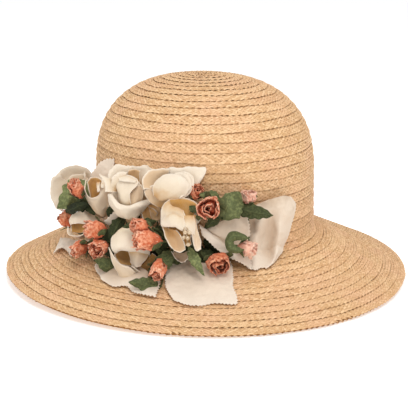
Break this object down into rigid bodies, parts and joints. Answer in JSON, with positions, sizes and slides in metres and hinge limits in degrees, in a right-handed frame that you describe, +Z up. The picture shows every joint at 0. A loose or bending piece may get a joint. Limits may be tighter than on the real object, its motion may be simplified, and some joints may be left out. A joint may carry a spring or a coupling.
{
  "type": "raffia sun hat with a spray of cloth flowers",
  "caption": "Sewn raffia braid sun hat with a domed crown, a sloping brim and a side spray of ivory cloth roses, salmon buds and green leaves.",
  "frame": {"origin": "centre of the box's bottom face, on the surface that the brim's edge rests on", "axes": "+Z up through the crown, -Y the front of the hat, +X the wearer's left"},
  "size_m": [0.3176, 0.3394, 0.1579],
  "materials": {
    "straw": "plaited raffia, dry and slightly glossy",
    "ivory_cloth": "matt stiffened cloth",
    "salmon_cloth": "matt crinkled paper cloth",
    "green_cloth": "matt textured cloth",
    "pearl": "pearly gloss"
  },
  "bodies": {
    "root": {"crown": "straw", "brim": "straw", "pearls": "pearl", "bud_left_top": "salmon_cloth", "bud_left_outer": "salmon_cloth", "bud_left_middle": "salmon_cloth", "bud_left_low": "salmon_cloth", "bud_left_inner": "salmon_cloth", "bud_middle_high": "salmon_cloth", "bud_middle": "salmon_cloth", "bud_middle_low": "salmon_cloth", "bud_right_top": "salmon_cloth", "bud_right_low": "salmon_cloth", "bud_right_pale": "salmon_cloth", "bud_right_back": "salmon_cloth", "bud_behind": "salmon_cloth", "rose_far_left": "ivory_cloth", "rose_bell": "ivory_cloth", "rose_open": "ivory_cloth", "rose_upper_right": "ivory_cloth", "rose_hanging": "ivory_cloth", "rose_folded": "ivory_cloth", "rose_small_left": "ivory_cloth", "leaf_left_top": "green_cloth", "leaf_left_dark": "green_cloth", "leaf_left_inner": "green_cloth", "leaf_left_low": "green_cloth", "leaf_middle_high": "green_cloth", "leaf_middle": "green_cloth", "leaf_middle_low": "green_cloth", "leaf_right_low": "green_cloth", "leaf_right_top": "green_cloth", "leaf_right_round": "green_cloth", "leaf_right_dark": "green_cloth", "calyx": "green_cloth", "petal_front": "ivory_cloth", "petal_lower_left": "ivory_cloth", "petal_right": "ivory_cloth", "petal_strip": "ivory_cloth", "petal_back": "ivory_cloth", "petal_star": "ivory_cloth", "petal_shard": "ivory_cloth", "petal_curl": "ivory_cloth"}
  },
  "joints": []
}
